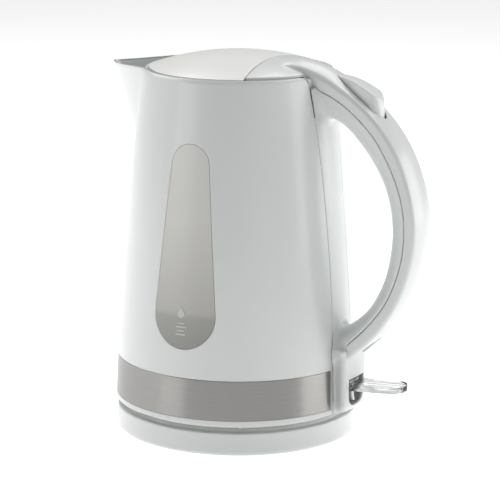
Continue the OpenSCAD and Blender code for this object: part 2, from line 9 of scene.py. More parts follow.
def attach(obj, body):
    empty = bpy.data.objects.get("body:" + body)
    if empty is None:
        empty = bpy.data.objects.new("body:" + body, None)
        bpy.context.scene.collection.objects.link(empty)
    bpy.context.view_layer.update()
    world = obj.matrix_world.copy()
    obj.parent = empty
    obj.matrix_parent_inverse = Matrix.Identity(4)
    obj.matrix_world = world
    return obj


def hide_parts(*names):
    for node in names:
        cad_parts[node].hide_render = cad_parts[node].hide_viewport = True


# The kettle's looks. The CAD frame gives places and sizes; the visible mouldings are rebuilt here
# as smooth meshes in millimetres, in the row frame: +Z up, spout at -X, handle at +X.

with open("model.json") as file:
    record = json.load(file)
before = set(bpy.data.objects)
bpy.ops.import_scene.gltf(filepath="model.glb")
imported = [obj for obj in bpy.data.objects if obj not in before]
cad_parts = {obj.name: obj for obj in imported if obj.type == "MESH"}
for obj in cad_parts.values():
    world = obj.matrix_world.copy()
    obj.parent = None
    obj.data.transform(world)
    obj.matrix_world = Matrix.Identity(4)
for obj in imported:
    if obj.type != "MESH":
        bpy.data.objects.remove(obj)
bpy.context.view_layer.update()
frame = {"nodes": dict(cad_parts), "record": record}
NODES = frame["nodes"]
MM = 0.001


# ---------------------------------------------------------------- sizes, mm
TURN = 2 * math.pi

# The jug is a cone with a slight bulge; its radius is set at two heights
JUG_LOW_Z = 20.0
PROFILE_LOW_Z, PROFILE_HIGH_Z = 23.0, 218.0
JUG_BOTTOM_R, JUG_TOP_R, JUG_BULGE = 75.2, 58.9, 2.2
JUG_WALL = 2.6
RIM_Z = 225.4
SEAM = 0.3

# A window is a teardrop round two circles
WINDOW_X = 1.3
WINDOW_LOW_Z, WINDOW_LOW_R = 85.3, 20.2
WINDOW_HIGH_Z, WINDOW_HIGH_R = 175.3, 12.4

BAND_LOW_Z, BAND_HIGH_Z, BAND_THICK = 23.3, 47.6, 0.8

SPOUT_TIP_X, SPOUT_Z, SPOUT_LEAN = -88.0, 223.0, 0.322

# The lid and the hood behind it are one dome, split at a bowed seam
DOME_R, DOME_TOP_Z = 164.0, 235.2
DOME_Z = DOME_TOP_Z - DOME_R
LID_R = 55.0
LID_SEAM_X, LID_SEAM_CURVE = 24.3, 0.0016

HANDLE_HALF_W = 13.0
HANDLE_WALL = 2.4
SPINE_LOW_Z, SPINE_HIGH_Z = 20.4, 217.5
BOSS_X, BOSS_TOP_Z = 82.8, 60.0
SLOT_HALF_W, SLOT_LOW_Z, SLOT_HIGH_Z = 10.2, 24.5, 41.5

LEVER_X, LEVER_Z, LEVER_TIP_X = 77.2, 36.6, 115.5
LEVER_HALF_W = 9.2

BASE_R, BASE_EDGE_Z, BASE_LAND_Z = 74.4, 15.5, 17.4

# The handle's side view, as (x, z) from the lid down: its back, the joint of its halves, its front
OUTER_LINE = [
    (20, 232.6), (32, 233.5), (44, 233.8), (60, 229.6), (74, 222), (90, 210.5), (103, 197.6),
    (113.5, 182.2), (121, 164), (125, 146), (125.4, 130), (122.2, 112), (114.6, 91.2),
    (102.4, 72.4), (87.4, 57.4), (73, 45),
]
JOINT_LINE = [
    (40, 222), (56, 218.6), (70, 213.4), (84, 204.2), (97.5, 191), (108.5, 172.8), (115.4, 154.2),
    (117.3, 135), (115, 115.6), (107.6, 95.3), (96.4, 79), (79.5, 62), (66, 50),
]
INNER_LINE = [
    (46, 201), (60, 200.5), (70, 197.5), (80, 189.8), (92.5, 175), (101, 159.5), (105.2, 141),
    (105, 124), (101.3, 105.5), (92.4, 87.5), (80, 75.5), (70, 70), (58, 66),
]


# ---------------------------------------------------------------- curves and fields
def smoothstep(a, b, v):
    """0 below a, 1 above b, and smooth between."""
    t = np.clip((v - a) / (b - a), 0, 1)
    return t * t * (3 - 2 * t)


def smooth_max(a, b, k):
    """The larger of a and b, rounded over a band of width k."""
    h = np.maximum(k - np.abs(a - b), 0) / k
    return np.maximum(a, b) + h * h * k / 4


def smooth_min(a, b, k):
    """The smaller of a and b, rounded over a band of width k."""
    return -smooth_max(-a, -b, k)


def slab(v, middle, half):
    """Negative where v is within half of middle."""
    return np.abs(v - middle) - half


def jug_radius(z):
    """Outer radius of the jug at height z."""
    t = (z - PROFILE_LOW_Z) / (PROFILE_HIGH_Z - PROFILE_LOW_Z)
    return JUG_BOTTOM_R + (JUG_TOP_R - JUG_BOTTOM_R) * t + 4 * JUG_BULGE * t * (1 - t)


def spine_half_width(z):
    """Half width of the handle's strip on the jug at height z."""
    return 12.0 + 4.0 * ((z - 110.0) / 105.0) ** 2


def dome_height(x, y):
    """Height of the dome over (x, y)."""
    return DOME_Z + np.sqrt(np.maximum(DOME_R**2 - x * x - y * y, 1.0))


def seam_x(y):
    """Where the lid's seam crosses y."""
    return LID_SEAM_X + LID_SEAM_CURVE * y * y


class Line:
    """A smooth open curve in the XZ plane that gives signed distances, positive on its left."""

    def __init__(self, points, steps=7):
        p = np.array(points, float)
        ends = [2 * p[0] - p[1], 2 * p[-1] - p[-2]]
        q = np.vstack([ends[:1], p, ends[1:]])
        out = []
        for i in range(len(p) - 1):
            a, b, c, d = q[i : i + 4]
            for t in np.arange(steps) / steps:
                even = 2 * b + (c - a) * t
                bend = (2 * a - 5 * b + 4 * c - d) * t**2 + (3 * b - a - 3 * c + d) * t**3
                out.append((even + bend) / 2)
        self.points = np.array(out + [p[-1]])
        along = np.gradient(self.points, axis=0)
        along /= np.linalg.norm(along, axis=1)[:, None]
        self.normals = np.stack([-along[:, 1], along[:, 0]], 1)

    def distance(self, x, z):
        """Signed distance of (x, z), smooth across the curve's own short segments."""
        x, z = np.broadcast_arrays(x, z)
        best = np.full(x.shape, np.inf)
        signed = np.zeros(x.shape)
        for i in range(len(self.points) - 1):
            a, b = self.points[i], self.points[i + 1]
            dx, dz = b - a
            t = np.clip(((x - a[0]) * dx + (z - a[1]) * dz) / (dx * dx + dz * dz), 0, 1)
            px, pz = x - a[0] - t * dx, z - a[1] - t * dz
            far = px * px + pz * pz
            near = far < best
            n0, n1 = self.normals[i], self.normals[i + 1]
            side = px * (n0[0] + t * (n1[0] - n0[0])) + pz * (n0[1] + t * (n1[1] - n0[1]))
            best = np.where(near, far, best)
            signed = np.where(near, side, signed)
        return signed


OUTER = Line(OUTER_LINE)
JOINT = Line(JOINT_LINE)
INNER = Line(INNER_LINE)


# ---------------------------------------------------------------- mesh makers
def make_object(name, points, faces, normals=None):
    """A mesh object from points in mm, with its own smooth normals if they are given."""
    mesh = bpy.data.meshes.new(name)
    mesh.from_pydata((np.asarray(points) * MM).tolist(), [], [list(map(int, f)) for f in faces])
    mesh.validate()
    mesh.update()
    mesh.shade_smooth()
    if normals is not None:
        mesh.normals_split_custom_set_from_vertices(np.asarray(normals).tolist())
    obj = bpy.data.objects.new(name, mesh)
    bpy.context.scene.collection.objects.link(obj)
    return obj


def unit(v):
    """Rows of v at length 1."""
    return v / np.maximum(np.linalg.norm(v, axis=-1, keepdims=True), 1e-9)


def slope(field, p, reach=0.06):
    """Gradient of a field at the rows of p."""
    out = np.zeros_like(p)
    for axis in range(3):
        step = np.zeros(3)
        step[axis] = reach
        high, low = p + step, p - step
        out[:, axis] = (field(*high.T) - field(*low.T)) / (2 * reach)
    return out


def skin_of(field, low, high, step):
    """Points, faces and normals of the closed surface where field(x, y, z) is 0, negative inside."""
    axes = [np.arange(a - step, b + 2 * step, step) for a, b in zip(low, high)]
    grid = field(axes[0][:, None, None], axes[1][None, :, None], axes[2][None, None, :])
    grid = np.broadcast_to(grid, [len(a) for a in axes])
    inside = grid < 0
    n = [len(a) - 1 for a in axes]
    count = np.zeros(n, np.int8)
    for i in (0, 1):
        for j in (0, 1):
            for k in (0, 1):
                count += inside[i : i + n[0], j : j + n[1], k : k + n[2]]
    mixed = (count > 0) & (count < 8)
    cells = np.argwhere(mixed)
    index = np.full(n, -1)
    index[mixed] = np.arange(len(cells))
    total = np.zeros((len(cells), 3))
    hits = np.zeros(len(cells))
    for axis in range(3):
        one, two = [a for a in range(3) if a != axis]
        for i in (0, 1):
            for j in (0, 1):
                a = cells.copy()
                a[:, one] += i
                a[:, two] += j
                b = a.copy()
                b[:, axis] += 1
                va, vb = grid[tuple(a.T)], grid[tuple(b.T)]
                cross = (va < 0) != (vb < 0)
                point = a.astype(float)
                gap = np.where(cross, va - vb, 1)
                point[:, axis] += va / gap
                total[cross] += point[cross]
                hits[cross] += 1
    points = np.array([a[0] for a in axes]) + step * total / hits[:, None]
    faces = []
    for axis in range(3):
        one, two = [(1, 2), (2, 0), (0, 1)][axis]
        a = np.take(inside, range(n[axis]), axis)
        b = np.take(inside, range(1, n[axis] + 1), axis)
        edges = np.argwhere(a != b)
        keep = (edges[:, one] > 0) & (edges[:, two] > 0)
        keep &= (edges[:, one] < n[one]) & (edges[:, two] < n[two])
        edges = edges[keep]
        ring = []
        for i, j in ((1, 1), (0, 1), (0, 0), (1, 0)):
            cell = edges.copy()
            cell[:, one] -= i
            cell[:, two] -= j
            ring.append(index[tuple(cell.T)])
        ring = np.stack(ring, 1)
        out = a[tuple(edges.T)]
        faces.append(np.where(out[:, None], ring, ring[:, ::-1]))
    for _ in range(3):
        g = slope(field, points)
        move = field(*points.T)[:, None] * g / np.maximum((g * g).sum(1), 1e-6)[:, None]
        size = np.linalg.norm(move, axis=1, keepdims=True)
        points = points - move * np.minimum(1, 0.4 * step / np.maximum(size, 1e-9))
    return points, np.vstack(faces), unit(slope(field, points, 0.12))


def moulding(name, field, low, high, step=0.6):
    """An object whose surface is where the field is 0."""
    return make_object(name, *skin_of(field, low, high, step))


def cut_domain(us, vs, keep):
    """A grid over us and vs trimmed to where keep(u, v) is negative. Returns points and faces."""
    u, v = [g.copy() for g in np.meshgrid(us, vs, indexing="ij")]
    f = keep(u, v)
    moved = np.full(f.shape, np.inf)
    new_u, new_v = u.copy(), v.copy()
    for axis in (0, 1):
        a = tuple(slice(0, -1) if k == axis else slice(None) for k in (0, 1))
        b = tuple(slice(1, None) if k == axis else slice(None) for k in (0, 1))
        fa, fb = f[a], f[b]
        cross = (fa * fb) < 0
        lo, hi = np.zeros(fa.shape), np.ones(fa.shape)
        for _ in range(18):
            mid = (lo + hi) / 2
            fm = keep(u[a] + mid * (u[b] - u[a]), v[a] + mid * (v[b] - v[a]))
            same = (fm < 0) == (fa < 0)
            lo, hi = np.where(same, mid, lo), np.where(same, hi, mid)
        t = (lo + hi) / 2
        for part, near in ((a, t), (b, 1 - t)):
            take = cross & (near <= 0.5) & (near < moved[part])
            cu = u[a] + t * (u[b] - u[a])
            cv = v[a] + t * (v[b] - v[a])
            moved[part] = np.where(take, near, moved[part])
            new_u[part] = np.where(take, cu, new_u[part])
            new_v[part] = np.where(take, cv, new_v[part])
    sign = np.where(np.isfinite(moved), 0, np.sign(f)).astype(int)
    number = np.arange(u.size).reshape(u.shape)
    quads = np.stack([number[:-1, :-1], number[1:, :-1], number[1:, 1:], number[:-1, 1:]], -1)
    quads = quads.reshape(-1, 4)
    signs = sign.ravel()[quads]
    mid_keep = keep(new_u.ravel()[quads].mean(1), new_v.ravel()[quads].mean(1)) < 0
    whole = (signs <= 0).all(1) & ((signs < 0).any(1) | mid_keep)
    faces = quads[whole].tolist()
    for quad, mark in zip(quads[~whole], signs[~whole]):
        if (mark < 0).any() and (mark > 0).sum() == 1:
            faces.append([q for q, m in zip(quad.tolist(), mark) if m <= 0])
    used = sorted({q for face in faces for q in face})
    place = {q: i for i, q in enumerate(used)}
    faces = [[place[q] for q in face] for face in faces]
    return new_u.ravel()[used], new_v.ravel()[used], faces


def thick_sheet(domain, outer, inner, edge):
    """A closed sheet over a trimmed domain, between two surfaces, with edges of radius edge.

    outer and inner turn (u, v) into points. Returns points, faces and normals.
    """
    u, v, faces = domain
    small = 1e-4

    def normals_of(surface, sign):
        du = surface(u + small, v) - surface(u - small, v)
        dv = surface(u, v + small) - surface(u, v - small)
        return sign * unit(np.cross(du, dv))

    top, low = outer(u, v), inner(u, v)
    first = faces[len(faces) // 2]
    way = np.cross(top[first[1]] - top[first[0]], top[first[2]] - top[first[0]])
    out_way = ((top - low)[first[0]] * way).sum()
    if out_way < 0:
        faces = [face[::-1] for face in faces]
    sample = normals_of(outer, 1)
    sign = 1 if ((sample * (top - low)).sum(1)).sum() > 0 else -1
    top_n, low_n = normals_of(outer, sign), -normals_of(inner, sign)
    seen = {}
    for face in faces:
        for a, b in zip(face, face[1:] + face[:1]):
            seen[(a, b)] = seen.get((a, b), 0) + 1
    rim = [(a, b) for (a, b) in seen if (b, a) not in seen]
    points, normals, all_faces = [top], [top_n], [list(f) for f in faces]
    count = len(top)

    def edge_ways(p, n):
        """Outward direction in the surface, at each rim point."""
        ways = np.zeros_like(p)
        for a, b in rim:
            step = np.cross(unit(p[b] - p[a]), unit((n[a] + n[b]) / 2))
            ways[a] += step
            ways[b] += step
        return unit(ways)

    rim_ids = sorted({a for pair in rim for a in pair})
    slot = {a: i for i, a in enumerate(rim_ids)}
    top_way = edge_ways(top, top_n)[rim_ids]
    low_way = edge_ways(low, -low_n)[rim_ids]
    p0, n0 = top[rim_ids].copy(), top_n[rim_ids]
    p1, n1 = low[rim_ids].copy(), low_n[rim_ids]
    thick = np.linalg.norm(p0 - p1, axis=1, keepdims=True)
    reach = np.minimum(edge, thick * 0.45)
    top[rim_ids] = p0 - reach * top_way
    low[rim_ids] = p1 - reach * low_way
    rings = []
    angles = np.linspace(0, math.pi / 2, 4)[1:]
    for a in angles:
        rings.append((p0 - reach * (1 - math.sin(a)) * top_way - reach * (1 - math.cos(a)) * n0,
                      unit(math.sin(a) * top_way + math.cos(a) * n0)))
    for a in angles[::-1]:
        rings.append((p1 - reach * (1 - math.sin(a)) * low_way - reach * (1 - math.cos(a)) * n1,
                      unit(math.sin(a) * low_way + math.cos(a) * n1)))
    previous = rim_ids
    for ring, ring_n in rings:
        start = count
        points.append(ring)
        normals.append(ring_n)
        count += len(ring)
        for a, b in rim:
            i, j = slot[a], slot[b]
            all_faces.append([previous[i], start + i, start + j, previous[j]])
        previous = list(range(start, start + len(ring)))
    start = count
    points.append(low)
    normals.append(low_n)
    all_faces += [[start + q for q in face[::-1]] for face in faces]
    for a, b in rim:
        i, j = slot[a], slot[b]
        all_faces.append([previous[i], start + a, start + b, previous[j]])
    return np.vstack(points), all_faces, np.vstack(normals)


def revolved(profile, count=180):
    """Points and faces of a closed outline of (r, z) turned about Z."""
    angles = np.arange(count) * TURN / count
    r, z = np.array(profile, float).T
    x, y = np.outer(np.cos(angles), r), np.outer(np.sin(angles), r)
    points = np.stack([x, y, np.tile(z, (count, 1))], -1)
    m = len(r)
    faces = []
    for i in range(count):
        for j in range(m):
            a, b = i * m + j, i * m + (j + 1) % m
            c, d = ((i + 1) % count) * m + (j + 1) % m, ((i + 1) % count) * m + j
            faces.append([a, d, c, b])
    return points.reshape(-1, 3), faces


def rounded_outline(points, steps=5):
    """A closed outline of (x, y, corner radius) with its corners rounded."""
    out = []
    n = len(points)
    for i in range(n):
        p = np.array(points[i][:2], float)
        a = np.array(points[i - 1][:2], float)
        b = np.array(points[(i + 1) % n][:2], float)
        r = points[i][2]
        if r <= 0:
            out.append(p)
            continue
        ua, ub = unit(a - p), unit(b - p)
        half = math.acos(max(-1, min(1, float(ua @ ub)))) / 2
        back = min(r / math.tan(half), 0.49 * np.linalg.norm(a - p), 0.49 * np.linalg.norm(b - p))
        r = back * math.tan(half)
        centre = p + unit(ua + ub) * r / math.sin(half)
        start, end = p + ua * back - centre, p + ub * back - centre
        for k in range(steps + 1):
            t = k / steps
            out.append(centre + unit(start * (1 - t) + end * t) * r)
    return out


def hard_finish(obj, angle=34):
    """Sharp edges by angle and normals that follow the large faces, for turned and plain pieces."""
    obj.data.set_sharp_from_angle(angle=math.radians(angle))
    weigh = obj.modifiers.new("weigh", "WEIGHTED_NORMAL")
    weigh.keep_sharp = True


def piece(obj, body, material, *nodes, slot=None):
    """Gives a new piece its body and its material, and hides the CAD nodes it stands for."""
    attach(obj, body)
    obj.data.materials.clear()
    obj.data.materials.append(material)
    if nodes:
        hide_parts(*nodes)


# ---------------------------------------------------------------- materials
def new_material(name):
    """An empty node material: its nodes, its links and its Principled shader."""
    material = bpy.data.materials.new(name)
    material.use_nodes = True
    nodes = material.node_tree.nodes
    links = material.node_tree.links
    return material, nodes, links, nodes["Principled BSDF"]


def object_noise(nodes, links, scale, detail=3.0, stretch=(1, 1, 1)):
    """Noise fixed to the object; scale is in cycles per metre. Returns its factor socket."""
    place = nodes.new("ShaderNodeTexCoord")
    fit = nodes.new("ShaderNodeMapping")
    fit.inputs["Scale"].default_value = stretch
    noise = nodes.new("ShaderNodeTexNoise")
    noise.inputs["Scale"].default_value = scale
    noise.inputs["Detail"].default_value = detail
    links.new(place.outputs["Object"], fit.inputs["Vector"])
    links.new(fit.outputs["Vector"], noise.inputs["Vector"])
    return noise.outputs["Fac"]


def ramp(nodes, links, source, stops):
    """A colour ramp over source. stops are (position, colour)."""
    node = nodes.new("ShaderNodeValToRGB")
    bar = node.color_ramp.elements
    while len(bar) < len(stops):
        bar.new(0.5)
    for element, (at, colour) in zip(bar, stops):
        element.position = at
        element.color = (*colour, 1)
    links.new(source, node.inputs["Fac"])
    return node.outputs["Color"]


def spread(nodes, links, source, low, high):
    """source, from 0.3 to 0.7, mapped to low and high."""
    node = nodes.new("ShaderNodeMapRange")
    node.inputs["From Min"].default_value = 0.3
    node.inputs["From Max"].default_value = 0.7
    node.inputs["To Min"].default_value = low
    node.inputs["To Max"].default_value = high
    links.new(source, node.inputs["Value"])
    return node.outputs["Result"]


def bumped(nodes, links, shader, source, strength, distance):
    """Adds a fine bump to the shader."""
    node = nodes.new("ShaderNodeBump")
    node.inputs["Strength"].default_value = strength
    node.inputs["Distance"].default_value = distance
    links.new(source, node.inputs["Height"])
    links.new(node.outputs["Normal"], shader.inputs["Normal"])


def plastic(name, dark, light, rough, grain=240, bump=0.03, coat=0.0, sub=0.0):
    """Moulded plastic: a faint colour drift, a fine orange peel and an uneven gloss."""
    material, nodes, links, shader = new_material(name)
    broad = object_noise(nodes, links, 14, 2)
    fine = object_noise(nodes, links, grain, 4)
    links.new(ramp(nodes, links, broad, [(0.3, dark), (0.7, light)]), shader.inputs["Base Color"])
    links.new(spread(nodes, links, fine, rough - 0.02, rough + 0.03), shader.inputs["Roughness"])
    bumped(nodes, links, shader, fine, bump, 0.00002)
    shader.inputs["Coat Weight"].default_value = coat
    shader.inputs["Coat Roughness"].default_value = 0.12
    shader.inputs["Subsurface Weight"].default_value = sub
    shader.inputs["Subsurface Radius"].default_value = (1, 1, 1)
    shader.inputs["Subsurface Scale"].default_value = 0.0035
    return material


def metal(name, dark, light, rough, stretch=(1, 1, 1), grain=300, turned=0.0):
    """Bare metal with fine streaks along the grain. turned is how strongly it is brushed round."""
    material, nodes, links, shader = new_material(name)
    streak = object_noise(nodes, links, grain, 5, stretch)
    links.new(ramp(nodes, links, streak, [(0.3, dark), (0.7, light)]), shader.inputs["Base Color"])
    links.new(spread(nodes, links, streak, rough - 0.05, rough + 0.07), shader.inputs["Roughness"])
    bumped(nodes, links, shader, streak, 0.05, 0.00003)
    shader.inputs["Metallic"].default_value = 1.0
    shader.inputs["Anisotropic"].default_value = turned
    shader.inputs["Anisotropic Rotation"].default_value = 0.25
    return material


def window_material():
    """Smoky translucent plastic whose colour darkens towards the bottom, with a step at about 86 mm:
    painted shade of the jug's inside.
    """
    material, nodes, links, shader = new_material("window_plastic")
    place = nodes.new("ShaderNodeTexCoord")
    split = nodes.new("ShaderNodeSeparateXYZ")
    links.new(place.outputs["Object"], split.inputs["Vector"])
    height = nodes.new("ShaderNodeMapRange")
    height.inputs["From Min"].default_value = (WINDOW_LOW_Z - WINDOW_LOW_R) * MM
    height.inputs["From Max"].default_value = (WINDOW_HIGH_Z + WINDOW_HIGH_R) * MM
    links.new(split.outputs["Z"], height.inputs["Value"])
    # Painted shade: the pane is dark at the bottom, steps lighter at about 86 mm and lightens further
    # upwards.
    stops = [
        (0.0, (0.30, 0.30, 0.285)), (0.155, (0.37, 0.37, 0.35)), (0.185, (0.48, 0.475, 0.45)),
        (0.62, (0.66, 0.655, 0.62)), (1.0, (0.70, 0.695, 0.66)),
    ]
    colour = ramp(nodes, links, height.outputs["Result"], stops)
    links.new(colour, shader.inputs["Base Color"])
    fine = object_noise(nodes, links, 700, 3)
    links.new(spread(nodes, links, fine, 0.30, 0.33), shader.inputs["Roughness"])
    shader.inputs["Transmission Weight"].default_value = 0.12
    shader.inputs["IOR"].default_value = 1.5
    return material


def clear_material(name, tint, rough, weight):
    """Clear or tinted plastic with faint flow marks."""
    material, nodes, links, shader = new_material(name)
    flow = object_noise(nodes, links, 260, 3, (0.4, 1, 1))
    dark = tuple(0.9 * c for c in tint)
    links.new(ramp(nodes, links, flow, [(0.3, dark), (0.7, tint)]), shader.inputs["Base Color"])
    links.new(spread(nodes, links, flow, rough, rough + 0.08), shader.inputs["Roughness"])
    bumped(nodes, links, shader, flow, 0.1, 0.0001)
    shader.inputs["Transmission Weight"].default_value = weight
    shader.inputs["IOR"].default_value = 1.49
    return material


def mesh_material():
    """Fine woven nylon for the filter."""
    material, nodes, links, shader = new_material("mesh_fabric")
    place = nodes.new("ShaderNodeTexCoord")
    weave = nodes.new("ShaderNodeTexWave")
    weave.inputs["Scale"].default_value = 900
    weave.bands_direction = "Z"
    links.new(place.outputs["Object"], weave.inputs["Vector"])
    stops = [(0.2, (0.45, 0.45, 0.43)), (0.8, (0.8, 0.8, 0.78))]
    links.new(ramp(nodes, links, weave.outputs["Fac"], stops), shader.inputs["Base Color"])
    bumped(nodes, links, shader, weave.outputs["Fac"], 0.4, 0.0002)
    shader.inputs["Roughness"].default_value = 0.8
    return material


white_gloss = plastic(
    "white_gloss_plastic", (0.645, 0.67, 0.66), (0.67, 0.69, 0.68), 0.30, coat=0.25, sub=0.3)
lid_white = plastic(
    "lid_plastic", (0.745, 0.75, 0.725), (0.775, 0.775, 0.75), 0.34, coat=0.15, sub=0.2)
white_matte = plastic(
    "white_matte_plastic", (0.76, 0.76, 0.74), (0.80, 0.80, 0.78), 0.52, bump=0.12)
dark_plastic = plastic(
    "dark_plastic", (0.035, 0.035, 0.038), (0.06, 0.06, 0.065), 0.48, bump=0.15)
grey_rubber = plastic(
    "grey_rubber", (0.20, 0.20, 0.20), (0.27, 0.27, 0.27), 0.75, grain=1400, bump=0.3)
seal_rubber = plastic("seal_rubber", (0.50, 0.22, 0.16), (0.60, 0.29, 0.21), 0.6, bump=0.2)
lead_plastic = plastic("lead_plastic", (0.50, 0.05, 0.04), (0.62, 0.07, 0.05), 0.45, bump=0.1)
band_steel = metal(
    "band_steel", (0.325, 0.32, 0.31), (0.375, 0.37, 0.36), 0.36, (1, 1, 40), 60, turned=0.95)
screw_steel = metal("screw_steel", (0.50, 0.50, 0.51), (0.62, 0.62, 0.63), 0.28)
brass = metal("contact_brass", (0.62, 0.46, 0.20), (0.75, 0.58, 0.30), 0.25)
aluminium = metal("diffuser_aluminium", (0.60, 0.61, 0.62), (0.72, 0.73, 0.74), 0.42)
window_plastic = window_material()
mark_plastic = plastic("mark_plastic", (0.50, 0.50, 0.48), (0.56, 0.56, 0.54), 0.4)
lever_plastic = clear_material("lever_plastic", (0.985, 0.99, 0.99), 0.02, 1.0)
lamp_plastic = clear_material("lamp_plastic", (0.95, 0.45, 0.10), 0.15, 0.5)
filter_nylon = mesh_material()
SLOT_MATERIALS = {
    "white_gloss_plastic": white_gloss, "lid_plastic": lid_white, "white_matte_plastic": white_matte,
    "dark_plastic": dark_plastic, "grey_rubber": grey_rubber, "seal_rubber": seal_rubber,
    "contact_brass": brass, "screw_steel": screw_steel, "band_steel": band_steel,
    "diffuser_aluminium": aluminium, "window_plastic": window_plastic, "lever_plastic": lever_plastic,
    "lamp_plastic": lamp_plastic, "lead_plastic": lead_plastic, "mesh_fabric": filter_nylon,
}
slot_of = {row["node"]: row["material_slot"] for row in frame["record"]["subparts"]}
for node_name, node_object in NODES.items():
    node_object.data.materials.clear()
    node_object.data.materials.append(SLOT_MATERIALS[slot_of[node_name]])


# ---------------------------------------------------------------- camera and light
# Place in metres; focal length and sideways shift as shares of the picture's width
CAMERA_AT = (0.7019, -1.3257, 0.4504)
CAMERA_TURN = math.radians(27.9)
CAMERA_DOWN = math.radians(12.74)
CAMERA_ROLL = math.radians(0.35)
FOCAL_SHARE = 4.978
CENTRE_SHIFT = 0.0242
SENSOR_W = 36.0

eye = bpy.data.cameras.new("camera")
eye.sensor_width = SENSOR_W
eye.lens = SENSOR_W * FOCAL_SHARE
eye.shift_x = CENTRE_SHIFT
camera = bpy.data.objects.new("camera", eye)
look = Matrix.Rotation(CAMERA_TURN, 4, "Z") @ Matrix.Rotation(math.pi / 2 - CAMERA_DOWN, 4, "X")
camera.matrix_world = Matrix.Translation(CAMERA_AT) @ look @ Matrix.Rotation(CAMERA_ROLL, 4, "Z")
bpy.context.scene.collection.objects.link(camera)
bpy.context.scene.camera = camera

CENTRE = Vector((0.01, 0, 0.12))


def soft_light(name, turn, height, distance, size, power):
    """An area light that looks at the kettle, turned round it by turn degrees from the camera."""
    lamp = bpy.data.lights.new(name, "AREA")
    lamp.shape = "RECTANGLE"
    lamp.size, lamp.size_y = size
    lamp.energy = power
    obj = bpy.data.objects.new(name, lamp)
    azimuth = CAMERA_TURN + math.radians(turn)
    at = CENTRE + Vector((distance * math.sin(azimuth), -distance * math.cos(azimuth), height))
    aim = (CENTRE - at).to_track_quat("-Z", "Y").to_matrix().to_4x4()
    obj.matrix_world = Matrix.Translation(at) @ aim
    bpy.context.scene.collection.objects.link(obj)


# Low cards at the sides and high ones behind
soft_light("light_left", -108, 0.7, 1.1, (1.2, 0.6), 5.6)
soft_light("light_low_left", -62, 0.05, 1.3, (0.55, 0.5), 1.5)
soft_light("light_right", 90, 0.20, 1.3, (1.4, 0.7), 7.6)
soft_light("light_high_left", -142, 1.15, 0.8, (0.9, 0.6), 7.4)
soft_light("light_high_right", 102, 1.15, 0.8, (0.8, 0.6), 4.8)
soft_light("light_high_back", 150, 1.15, 0.8, (0.8, 0.6), 4.8)

world = bpy.data.worlds.new("studio")
world.use_nodes = True
background = world.node_tree.nodes["Background"]
background.inputs["Color"].default_value = (1, 1, 1, 1)
background.inputs["Strength"].default_value = 0.25
bpy.context.scene.world = world
bpy.context.scene.view_settings.view_transform = "Standard"

# The floor glows a little, so that it stays white under soft light
FLOOR_HALF = 3.0
floor_corners = [
    (x * FLOOR_HALF, y * FLOOR_HALF, 0) for x, y in ((-1, -1), (1, -1), (1, 1), (-1, 1))]
floor_mesh = bpy.data.meshes.new("floor")
floor_mesh.from_pydata(floor_corners, [], [(0, 1, 2, 3)])
floor = bpy.data.objects.new("floor", floor_mesh)
bpy.context.scene.collection.objects.link(floor)
floor_material, _, _, floor_shader = new_material("floor_white")
floor_shader.inputs["Base Color"].default_value = (0.8, 0.8, 0.8, 1)
floor_shader.inputs["Roughness"].default_value = 0.9
floor_shader.inputs["Emission Color"].default_value = (1, 1, 1, 1)
floor_shader.inputs["Emission Strength"].default_value = 0.62
floor.data.materials.append(floor_material)


# ---------------------------------------------------------------- jug
SPOUT_EDGE = 0.015
SPOUT_WALL = 3.3
SPOUT_BLEND = 2.5
RIM_IN_R, RIM_IN_Z = 55.2, 214.0
RIM_ROUND_H, RIM_ROUND_IN, LIP_ROUND_IN = 2.8, 1.4, 0.6
SLOPE_FROM_Z = 200.0
STRIP = 1.5
CORNER_R = 5.0
BAND_GAP = 0.15
RECESS_LOW_Z, RECESS_HIGH_Z = BAND_LOW_Z - 0.1, BAND_HIGH_Z + 0.1


def spout_radius(angle, z, inset=0.0):
    """Radius of the spout's V at an angle about the axis, from +X. inset moves its wall inwards."""
    from_tip = angle - math.pi
    tip = SPOUT_TIP_X + inset + SPOUT_LEAN * (SPOUT_Z - z)
    s = np.sqrt(np.sin(from_tip) ** 2 + SPOUT_EDGE**2) - SPOUT_EDGE
    a = 0.017 * s * s
    b = 0.72 * s + np.cos(from_tip)
    root = np.sqrt(np.maximum(b * b - 4 * a * tip, 0))
    return np.where(np.cos(from_tip) > 0.2, -2 * tip / np.maximum(b + root, 0.05), 0)


def window_distance(x, z):
    """Signed distance to a window's teardrop outline, on the side of the jug."""
    height = WINDOW_HIGH_Z - WINDOW_LOW_Z
    lean = (WINDOW_LOW_R - WINDOW_HIGH_R) / height
    up = math.sqrt(1 - lean * lean)
    px, pz = np.abs(x - WINDOW_X), z - WINDOW_LOW_Z
    k = up * pz - lean * px
    low = np.hypot(px, pz) - WINDOW_LOW_R
    high = np.hypot(px, pz - height) - WINDOW_HIGH_R
    side = up * px + lean * pz - WINDOW_LOW_R
    return np.where(k < 0, low, np.where(k > up * height, high, side))


JUG_COLUMNS = 420
JUG_ROWS = 165


